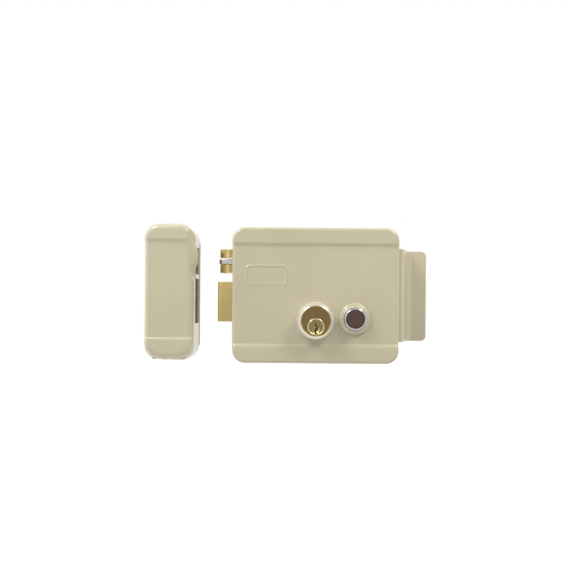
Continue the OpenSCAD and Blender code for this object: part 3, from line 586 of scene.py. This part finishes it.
def make_wing():
    """A strip folded back from the case's side to the door: its middle line, thickened by t."""
    low, high = corners("mounting_wing")
    t, angle, r1, r2, x1 = 2.0, 66.0, 4.5, 7.5, 71.8
    root_x, foot_y = 66.0, -3.0
    mid = (low.z + high.z) / 2
    y1, y2 = low.y + t / 2, -t / 2
    fall = (y2 - y1) - (r1 + r2) * (1 - math.cos(math.radians(angle)))
    run = fall / math.tan(math.radians(angle))
    x2 = x1 + (r1 + r2) * math.sin(math.radians(angle)) + run
    path = [(low.x, foot_y), (root_x, foot_y), (root_x, y1)]
    path += [(root_x + (x1 - root_x) * i / 4, y1) for i in range(1, 4)]
    path += arc(x1, y1 + r1, r1, -90, angle - 90, 14)
    bend = arc(x2, y2 - r2, r2, angle + 90, 90, 20)
    path += [tuple(Vector(path[-1]).lerp(Vector(bend[0]), k / 6)) for k in range(1, 6)]
    path += bend
    corner = 4.5
    path += [(x2 + (high.x - corner - x2) * i / 3, y2) for i in range(1, 4)]
    path += [(high.x - corner + corner * math.sin(math.radians(a)), y2) for a in range(9, 91, 9)]
    bm = bmesh.new()
    rows = []
    for i, (x, y) in enumerate(path):
        before = Vector(path[i]) - Vector(path[i - 1]) if i else Vector(path[1]) - Vector(path[0])
        after = Vector(path[i + 1]) - Vector(path[i]) if i < len(path) - 1 else before
        n1, n2 = (Vector((-d.y, d.x)).normalized() for d in (before, after))
        shift = (n1 + n2) / (1 + n1.dot(n2)) * t / 2
        top = high.z - mid
        if x > high.x - corner:
            top += -corner + math.sqrt(max(0.0, corner ** 2 - (x - high.x + corner) ** 2))
        levels = [-top, -top / 2, 0, top / 2, top]
        rows.append([[bm.verts.new((x + k * shift.x, y + k * shift.y, mid + z)) for z in levels]
                     for k in (1, -1)])
    for a, b in zip(rows, rows[1:]):
        for side in (0, 1):
            for j in range(4):
                bm.faces.new((a[side][j], a[side][j + 1], b[side][j + 1], b[side][j]))
        for j in (0, 4):
            bm.faces.new((a[0][j], b[0][j], b[1][j], a[1][j]))
    for end in (rows[0], rows[-1]):
        for j in range(4):
            bm.faces.new((end[0][j], end[0][j + 1], end[1][j + 1], end[1][j]))
    wing = finish_mesh(bm, "folded_wing", "mounting_wing", stands_for=["mounting_wing"])
    mod = wing.modifiers.new("edge", "BEVEL")
    mod.width, mod.segments, mod.limit_method, mod.angle_limit = 0.35 * MM, 3, "ANGLE", math.radians(50)
    bake(wing)
    sharpen(wing, 50)


# ---------------------------------------------------------------- cylinder and button

cyl_low, cyl_high = corners("cylinder_housing")
CYL_Z = (cyl_low.z + cyl_high.z) / 2
CYL_FACE = cyl_low.y
plug_low, plug_high = corners("key_plug")
PLUG_Z = (plug_low.z + plug_high.z) / 2
btn_low, btn_high = corners("button_bezel")
BTN_X, BTN_Z = (btn_low.x + btn_high.x) / 2, (btn_low.z + btn_high.z) / 2


def turned(name, node, profile, x, z, y_base, segments=128, mat=None, cuts=()):
    """A turned piece that takes the node's place, with shapes cut out of it."""
    bm = bmesh.new()
    lathe_into(bm, profile, x, z, y_base, segments, closed=profile[0][0] > 0)
    obj = finish_mesh(bm, name, node, mat, 32, [node])
    for make in cuts:
        cut(obj, make)
    if cuts:
        sharpen(obj, 32)
    return obj


def collar_groove(height, r):
    return [(r, height), (r - 0.25, height + 0.12), (r - 0.25, height + 0.4), (r - 0.05, height + 0.52)]


def make_collar():
    low, high = corners("cylinder_collar")
    r, bore = (high.x - low.x) / 2, 13.06
    profile = [(bore, 0), (r, 0), (r, 1.6)]
    profile += collar_groove(1.8, r) + collar_groove(2.9, r - 0.05) + collar_groove(4.0, r - 0.15)
    profile += [(r - 0.3, 5.4), (r - 0.5, 6.8), (r - 0.85, 8.4), (r - 1.25, 9.8), (r - 1.65, 10.9),
                (r - 1.95, 11.5), (r - 2.2, 11.85), (r - 2.4, 12.0), (bore, 12.0)]
    turned("collar_ring", "cylinder_collar", profile, 0, CYL_Z, PANEL_Y, 160)


def make_cylinder():
    top = cyl_high.y - CYL_FACE
    profile = [(0, 0), (13, 0), (13, top - 1.3), (12.9, top - 1.35), (12.8, top - 0.5), (0, top - 0.5)]
    turned("cylinder_body", "cylinder_housing", profile, 0, CYL_Z, cyl_high.y, 160, "face_brass", [
        lambda b: lathe_into(b, [(0, 0), (7.15, 0), (7.15, 50), (0, 50)], 0, PLUG_Z, -10, 160, False)])
    bm = bmesh.new()
    lathe_into(bm, [(12.95, top - 1.3), (12.97, top - 0.9), (12.85, top - 0.45), (12.6, top - 0.12),
                    (12.3, top), (12.1, top - 0.02), (11.9, top - 0.2), (11.82, top - 0.5),
                    (11.8, top - 0.7)],
               0, CYL_Z, cyl_high.y, 160)
    finish_mesh(bm, "cylinder_rim", "cylinder_housing", "rim_brass")


# Height above the plug's middle, left edge and right edge, from the top down.
KEYWAY = [(2.7, -0.5, 0.5), (1.2, -1.0, 0.5), (0.3, -1.0, 1.0), (-0.5, -0.1, 1.8), (-1.7, -0.3, 1.75),
          (-2.7, -1.35, 1.0), (-3.5, -1.4, 0.4), (-5.0, -1.2, 0.6), (-5.7, -1.0, 0.9)]


def keyway_into(bm):
    outline = [(l, PLUG_Z + z) for z, l, _ in KEYWAY] + [(r, PLUG_Z + z) for z, _, r in reversed(KEYWAY)]
    near = [bm.verts.new((x, CYL_FACE - 3, z)) for x, z in outline]
    far = [bm.verts.new((x, CYL_FACE + 24, z)) for x, z in outline]
    bm.faces.new(near)
    bm.faces.new(list(reversed(far)))
    bridge(bm, near, far)


def make_plug():
    top = plug_high.y - plug_low.y
    profile = [(0, 0), (7.1, 0), (7.1, top - 1.1), (7.0, top - 1.12), (6.9, top - 0.85), (0, top - 0.85)]
    bm = bmesh.new()
    lathe_into(bm, [(7.05, top - 1.1), (7.07, top - 0.75), (6.95, top - 0.35), (6.7, top - 0.09), (6.4, top),
                    (6.1, top - 0.09), (5.85, top - 0.35), (5.73, top - 0.75), (5.75, top - 1.1)],
               0, PLUG_Z, plug_high.y, 128)
    finish_mesh(bm, "plug_rim", "key_plug", "rim_brass")
    turned("plug_barrel", "key_plug", profile, 0, PLUG_Z, plug_high.y, 128, "plug_brass", [
        lambda b: lathe_into(b, [(0, 0), (0.8, 0), (3.3, 1.9), (3.3, 4), (0, 4)], 0, PLUG_Z - 2.9,
                             CYL_FACE + 2.1, 64, False),
        keyway_into])


def make_button():
    bezel = [(9.3, -8), (10.8, -8), (10.8, 0), (13.5, 0), (13.5, 0.5), (13.42, 1.1), (13.2, 1.7), (12.8, 2.3),
             (12.3, 2.75), (11.8, 3.0), (11.55, 3.02), (11.4, 2.98), (11.2, 3.15), (10.8, 3.55),
             (10.3, 3.9), (9.8, 4.12), (9.5, 4.2), (9.36, 4.1), (9.3, 3.9)]
    turned("button_bezel_ring", "button_bezel", bezel, BTN_X, BTN_Z, PANEL_Y)
    low, high = corners("button_shell")
    top = high.y - low.y
    shell = [(3.06, 0), (10.6, 0), (10.6, 2.7), (9.05, 2.7), (9.05, top - 1.1), (8.97, top - 0.7),
             (8.75, top - 0.3), (8.4, top - 0.05), (8.1, top), (7.85, top - 0.05), (7.6, top - 0.3),
             (7.42, top - 0.7), (7.36, top - 1.2), (7.36, top - 2.0), (3.06, top - 2.0)]
    turned("button_ring", "button_shell", shell, BTN_X, BTN_Z, high.y)
    low, high = corners("button_cap")
    cap = [(0, 0), (7.3, 0), (7.3, 1.3), (7.22, 1.65), (7.0, 1.9), (6.6, 2.0), (3.0, 2.06), (0, 2.07)]
    turned("button_face", "button_cap", cap, BTN_X, BTN_Z, high.y)


# ---------------------------------------------------------------- bolts

def inset(points, d):
    """A counter-clockwise outline, moved inwards by d."""
    out = []
    for i, (x, y) in enumerate(points):
        a, b = Vector(points[i - 1]), Vector(points[(i + 1) % len(points)])
        e1, e2 = (Vector((x, y)) - a).normalized(), (b - Vector((x, y))).normalized()
        n1, n2 = Vector((-e1.y, e1.x)), Vector((-e2.y, e2.x))
        move = (n1 + n2) / max(0.4, 1 + n1.dot(n2)) * d
        out.append((x + move.x, y + move.y))
    return out


def slab_into(bm, outline, z0, z1, b, steps=4):
    """An outline in X and Y (counter-clockwise), stood up in Z, with its upper and lower edges rounded."""
    turns = [math.radians(90 * i / steps) for i in range(steps + 1)]
    levels = [(b * (1 - math.sin(a)), b * (1 - math.cos(a))) for a in turns]
    rings = [(d, z0 + h) for d, h in levels] + [(d, z1 - h) for d, h in reversed(levels)]
    loops = [[bm.verts.new((x, y, z)) for x, y in inset(outline, d)] for d, z in rings]
    bm.faces.new(list(reversed(loops[0])))
    bm.faces.new(loops[-1])
    for low, high in zip(loops, loops[1:]):
        bridge(bm, low, high)


def tube_along_x(bm, x0, x1, y, z, r, segments=48):
    lathe_into(bm, [(0, 0), (r, 0), (r, x1 - x0), (0, x1 - x0)], 0, 0, 0, segments, closed=False)
    turn = Matrix.Rotation(math.radians(90), 4, "Z")
    bmesh.ops.transform(bm, matrix=Matrix.Translation((x0, y, z)) @ turn, verts=bm.verts)


def upright_pin_into(bm, x, y, r, z0, z1):
    slab_into(bm, arc(x, y, r, 0, 354, 59), z0 - 1, z1 + 1, 0.01)


def make_bolt():
    low, high = corners("bolt_head")
    nose_r, spring_r = 2.0, 2.9
    outline = arc(low.x + nose_r, high.y - nose_r, nose_r, 90, 180, 10)
    outline += [(low.x, low.y + 2), (low.x + 0.06, low.y + 1.5), (low.x + 0.3, low.y + 1.1),
                (low.x + 2, low.y + 0.2), (low.x + 2.4, low.y + 0.05), (low.x + 2.8, low.y),
                (high.x, low.y), (high.x, high.y)]
    bm = bmesh.new()
    slab_into(bm, outline, low.z, high.z, 0.45)
    bolt = finish_mesh(bm, "bolt_bar", "bolt_head", stands_for=["bolt_head"])
    tail_low, _ = corners("bolt_tail")
    cut(bolt, lambda b: box_into(b, tail_low.x, high.x + 1, high.y - 3, high.y + 1, low.z - 1, high.z + 1))
    spring_low, spring_high = corners("bolt_spring")
    y, z = (spring_low.y + spring_high.y) / 2, (spring_low.z + spring_high.z) / 2
    cut(bolt, lambda b: tube_along_x(b, low.x + 7.9, high.x + 1, y, z, spring_r))
    sharpen(bolt)


def make_latch():
    """The split latch, and the tongue that turns on a pin in its gap."""
    low, high = corners("trigger_latch")
    tongue_low, tongue_high = corners("trigger_tongue")
    pin_low, pin_high = corners("trigger_pin")
    pin_x, pin_y, mid_z = (pin_low.x + pin_high.x) / 2, (low.y + high.y) / 2, (low.z + high.z) / 2
    nose_r, spring_r, pin_r, tongue_r = 2, 2.5, 2.0, 5.0
    outline = arc(low.x + nose_r, high.y - nose_r, nose_r, 90, 180, 12)
    outline += [(low.x, low.y + 6.6), (low.x + 0.06, low.y + 5.6), (low.x + 0.3, low.y + 5.0),
                (low.x + 0.8, low.y + 4.5), (low.x + 7.6, low.y + 0.5), (low.x + 8.2, low.y + 0.15),
                (low.x + 8.9, low.y), (high.x, low.y), (high.x, high.y)]
    bm = bmesh.new()
    slab_into(bm, outline, low.z, high.z, 0.4)
    latch = finish_mesh(bm, "latch_nose", "trigger_latch", stands_for=["trigger_latch"])
    cut(latch, lambda b: box_into(b, low.x - 1, low.x + 20, low.y - 1, high.y + 1,
                                  tongue_low.z - 0.6, tongue_high.z + 1.3))
    cut(latch, lambda b: tube_along_x(b, low.x + 21.0, high.x + 1, pin_y, mid_z, spring_r))
    cut(latch, lambda b: upright_pin_into(b, pin_x, pin_y, pin_r, low.z, high.z))
    sharpen(latch)

    outline = arc(tongue_low.x + tongue_r, pin_y, tongue_r, 90, 270, 24)
    outline += arc(pin_x, pin_y, tongue_r, -90, 90, 24)
    bm = bmesh.new()
    slab_into(bm, outline, tongue_low.z, tongue_high.z, 0.5)
    tongue = finish_mesh(bm, "latch_tongue", "trigger_tongue", "tongue_steel", stands_for=["trigger_tongue"])
    cut(tongue, lambda b: upright_pin_into(b, pin_x, pin_y, pin_r + 0.06, tongue_low.z, tongue_high.z))
    sharpen(tongue)


make_lock_cover()
make_keeper_cover()
make_keeper_base()
make_wing()
make_collar()
make_cylinder()
make_plug()
make_button()
make_bolt()
make_latch()

# ---------------------------------------------------------------- camera, light, floor

cam = bpy.data.objects.new("camera", bpy.data.cameras.new("camera"))
bpy.context.scene.collection.objects.link(cam)
cam.location = (-16.0 * MM, (case_low.y - 457.6) * MM, -12.0 * MM)
cam.rotation_euler = (math.radians(90), math.radians(-0.45), 0)
cam.data.sensor_width = 36.0
cam.data.lens = 33.67
cam.data.shift_x, cam.data.shift_y = -0.0202, 0.027
cam.data.clip_start, cam.data.clip_end = 0.01, 20
bpy.context.scene.camera = cam


def softbox(name, at, size, power, mirrored=True):
    """A light that faces the origin. Unless mirrored, it lights but shows in no reflection."""
    data = bpy.data.lights.new(name, "AREA")
    data.shape = "RECTANGLE"
    data.size, data.size_y = size
    data.energy = power
    obj = bpy.data.objects.new(name, data)
    obj.location = at
    obj.rotation_euler = (-Vector(at)).to_track_quat("-Z", "Y").to_euler()
    obj.visible_glossy = mirrored
    bpy.context.scene.collection.objects.link(obj)


softbox("front", (0.0, -1.0, 0.6), (0.8, 0.8), 2.1, mirrored=False)
softbox("top_left", (-0.66, -0.60, 0.86), (0.42, 0.34), 5.6)
softbox("top_right", (0.66, -0.60, 0.86), (0.42, 0.34), 5.4)


def make_world():
    """White from all around, but dimmer in front, which is what metal that faces the camera mirrors."""
    world = bpy.data.worlds.new("studio")
    bpy.context.scene.world = world
    world.use_nodes = True
    nodes, links = world.node_tree.nodes, world.node_tree.links
    nodes.clear()
    out = nodes.new("ShaderNodeOutputWorld")
    background = nodes.new("ShaderNodeBackground")
    background.inputs["Color"].default_value = (1, 1, 1, 1)
    tex = nodes.new("ShaderNodeTexCoord")
    split = nodes.new("ShaderNodeSeparateXYZ")
    links.new(tex.outputs["Generated"], split.inputs[0])
    strength = remap(nodes, links, split.outputs["Y"], 0.3, 1.0, -0.7, -0.1)
    # Added light: straight ahead, from below and from the left.
    for axis, added, start, end in (("Y", 0.24, -0.93, -0.82), ("Z", 0.3, -0.9, -0.35),
                                    ("X", 0.5, -0.72, -0.55)):
        part = remap(nodes, links, split.outputs[axis], added, 0.0, start, end)
        strength = math_node(nodes, links, "ADD", strength, part)
    links.new(strength, background.inputs["Strength"])
    links.new(background.outputs[0], out.inputs["Surface"])


def make_floor():
    """A pale floor that neither tints nor mirrors in the object."""
    mat, _, _, bsdf = graph("floor_white")
    bsdf.inputs["Base Color"].default_value = (0.9, 0.9, 0.9, 1)
    bsdf.inputs["Roughness"].default_value = 0.9
    bsdf.inputs["Emission Color"].default_value = (1, 1, 1, 1)
    bsdf.inputs["Emission Strength"].default_value = 0.6
    bpy.ops.mesh.primitive_plane_add(size=8, location=(0, 1.0, -0.32))
    floor = bpy.context.object
    floor.name = "floor"
    floor.data.materials.append(mat)
    floor.visible_diffuse = False
    floor.visible_glossy = False


make_world()
make_floor()
bpy.context.scene.view_settings.view_transform = "Standard"
